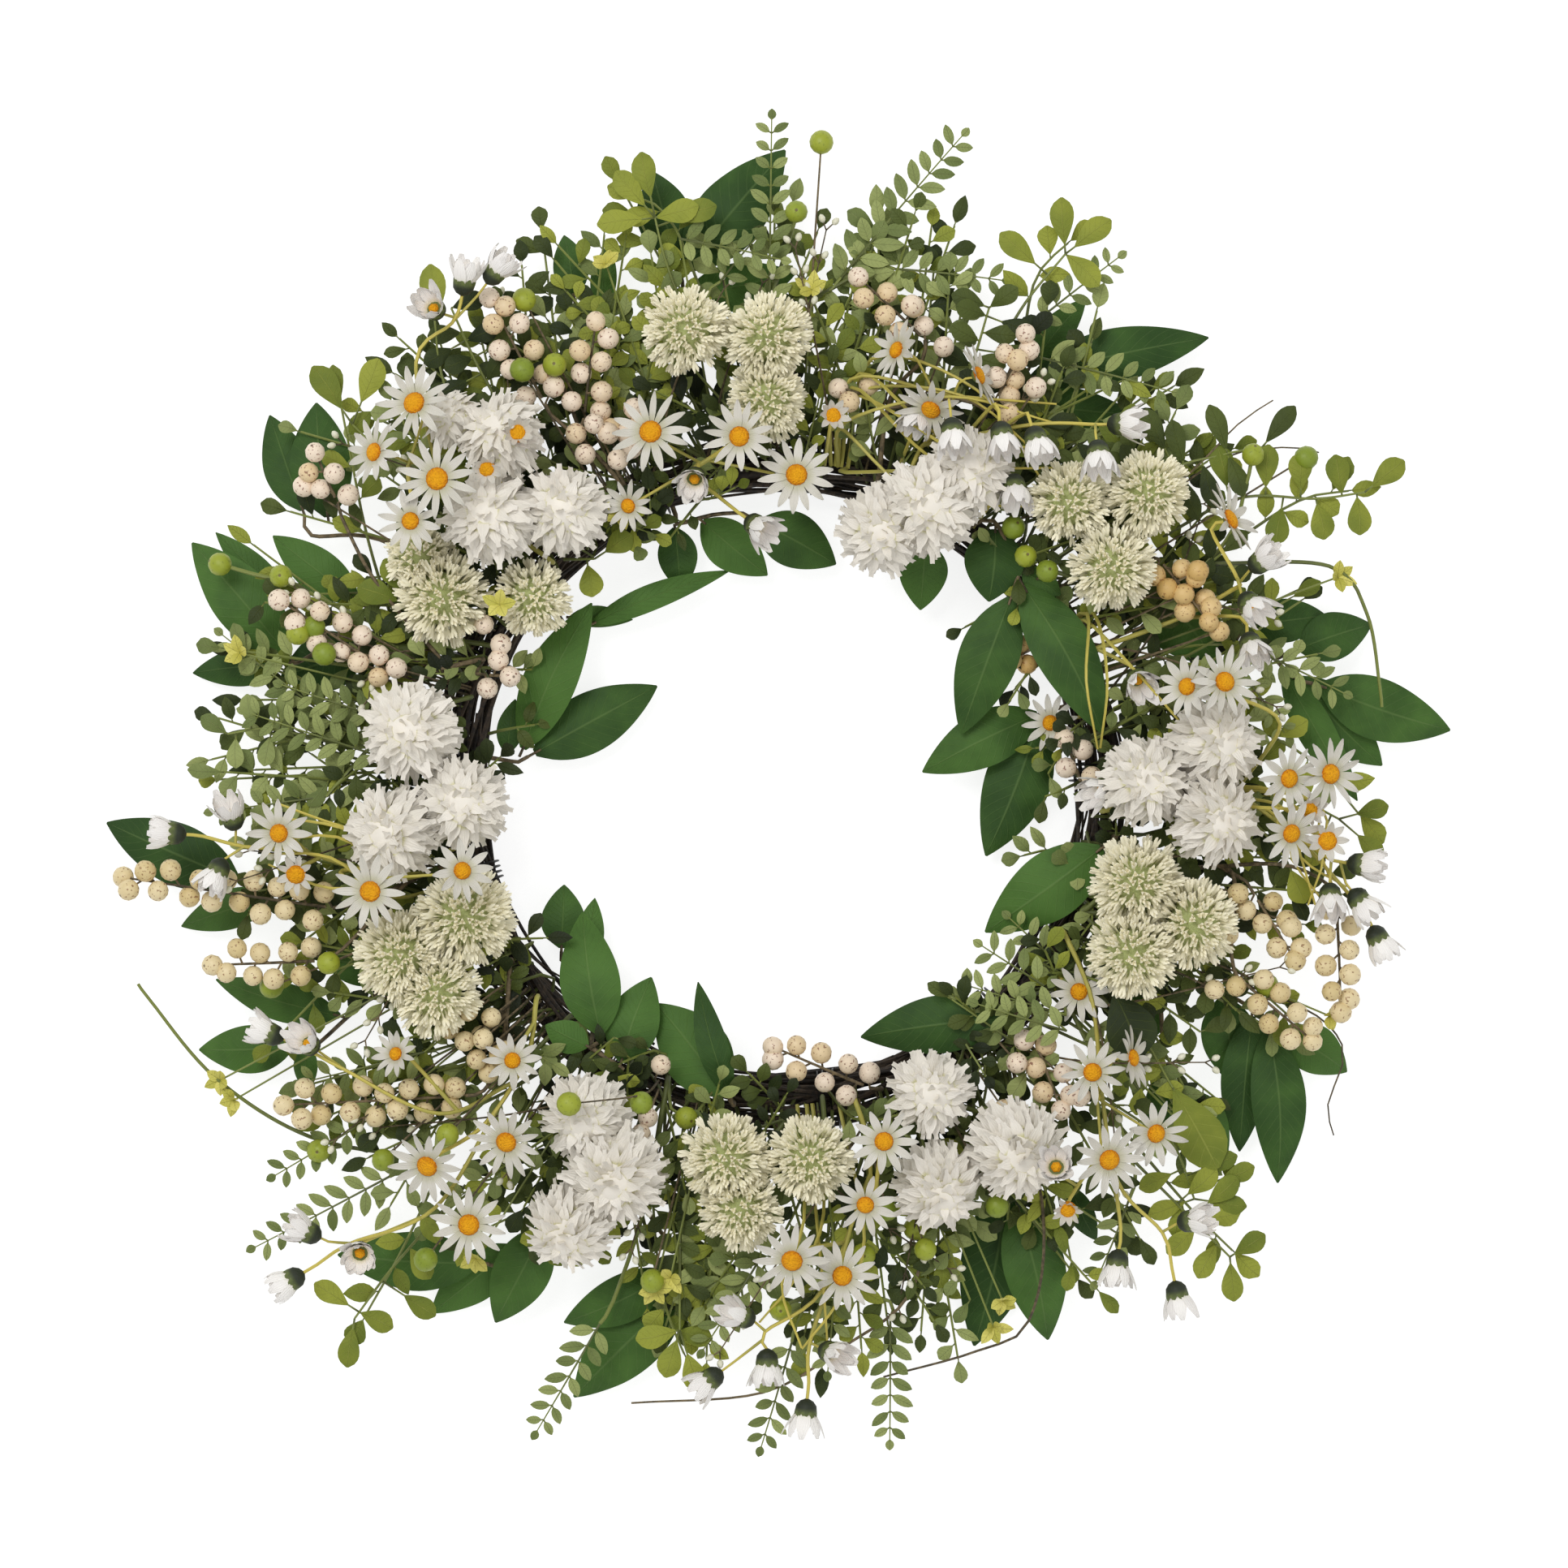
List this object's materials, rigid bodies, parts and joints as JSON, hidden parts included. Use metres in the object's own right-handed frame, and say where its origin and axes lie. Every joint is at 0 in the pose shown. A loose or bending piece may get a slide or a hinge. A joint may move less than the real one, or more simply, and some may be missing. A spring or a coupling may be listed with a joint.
{
  "type": "chrysanthemum and daisy wreath",
  "caption": "Round artificial wreath of white chrysanthemums, small daisies, cream allium balls, berries, fern sprays and laurel leaves on a dark twig ring, open in the middle.",
  "frame": {"origin": "middle of the bounding box, at the plane of the ring's flat back", "axes": "+X to the wreath's right and +Y to its top as it hangs, +Z the way its flowers face"},
  "size_m": [0.61, 0.598, 0.0969],
  "materials": {
    "twig": "dark bark, dull",
    "leaf_green": "coated cloth leaf, satin",
    "fern_green": "pale sage, matte",
    "petal_white": "thin cloth petals, matte",
    "allium_cream": "moulded florets, matte",
    "daisy_white": "ribbed petals, matte",
    "berry_cream": "painted foam berries, satin"
  },
  "bodies": {
    "root": {"alliums_bottom": "allium_cream", "alliums_lower_left": "allium_cream", "alliums_right": "allium_cream", "alliums_top": "allium_cream", "alliums_upper_left": "allium_cream", "alliums_upper_right": "allium_cream", "berries_inner_bottom": "berry_cream", "berries_inner_right": "berry_cream", "berries_left": "berry_cream", "berries_left_long": "berry_cream", "berries_lower_left": "berry_cream", "berries_lower_right": "berry_cream", "berries_right": "berry_cream", "berries_right_upper": "berry_cream", "berries_top_right": "berry_cream", "berries_upper_left": "berry_cream", "daisies_bottom": "daisy_white", "daisies_left": "daisy_white", "daisies_lower_left": "daisy_white", "daisies_lower_right": "daisy_white", "daisies_right": "daisy_white", "daisies_right_upper": "daisy_white", "daisies_top": "daisy_white", "daisies_upper_left": "daisy_white", "daisies_upper_right": "daisy_white", "ferns_bottom": "fern_green", "ferns_bottom_left": "fern_green", "ferns_left": "fern_green", "ferns_lower_left": "fern_green", "ferns_lower_right": "fern_green", "ferns_right": "fern_green", "ferns_right_upper": "fern_green", "ferns_top": "fern_green", "ferns_top_right": "fern_green", "ferns_upper_left": "fern_green", "leaf_inner_lower_right": "leaf_green", "leaf_inner_right_low": "leaf_green", "leaves_bottom_left": "leaf_green", "leaves_bottom_right": "leaf_green", "leaves_inner_bottom": "leaf_green", "leaves_inner_left": "leaf_green", "leaves_inner_lower_left": "leaf_green", "leaves_inner_right": "leaf_green", "leaves_inner_top": "leaf_green", "leaves_inner_upper_left": "leaf_green", "leaves_inner_upper_right": "leaf_green", "leaves_left": "leaf_green", "leaves_lower_left": "leaf_green", "leaves_lower_right": "leaf_green", "leaves_right": "leaf_green", "leaves_top": "leaf_green", "leaves_top_right": "leaf_green", "leaves_upper_left": "leaf_green", "mums_left": "petal_white", "mums_lower_left": "petal_white", "mums_lower_right": "petal_white", "mums_right": "petal_white", "mums_upper_left": "petal_white", "mums_upper_right": "petal_white", "twig_ring": "twig"}
  },
  "joints": []
}
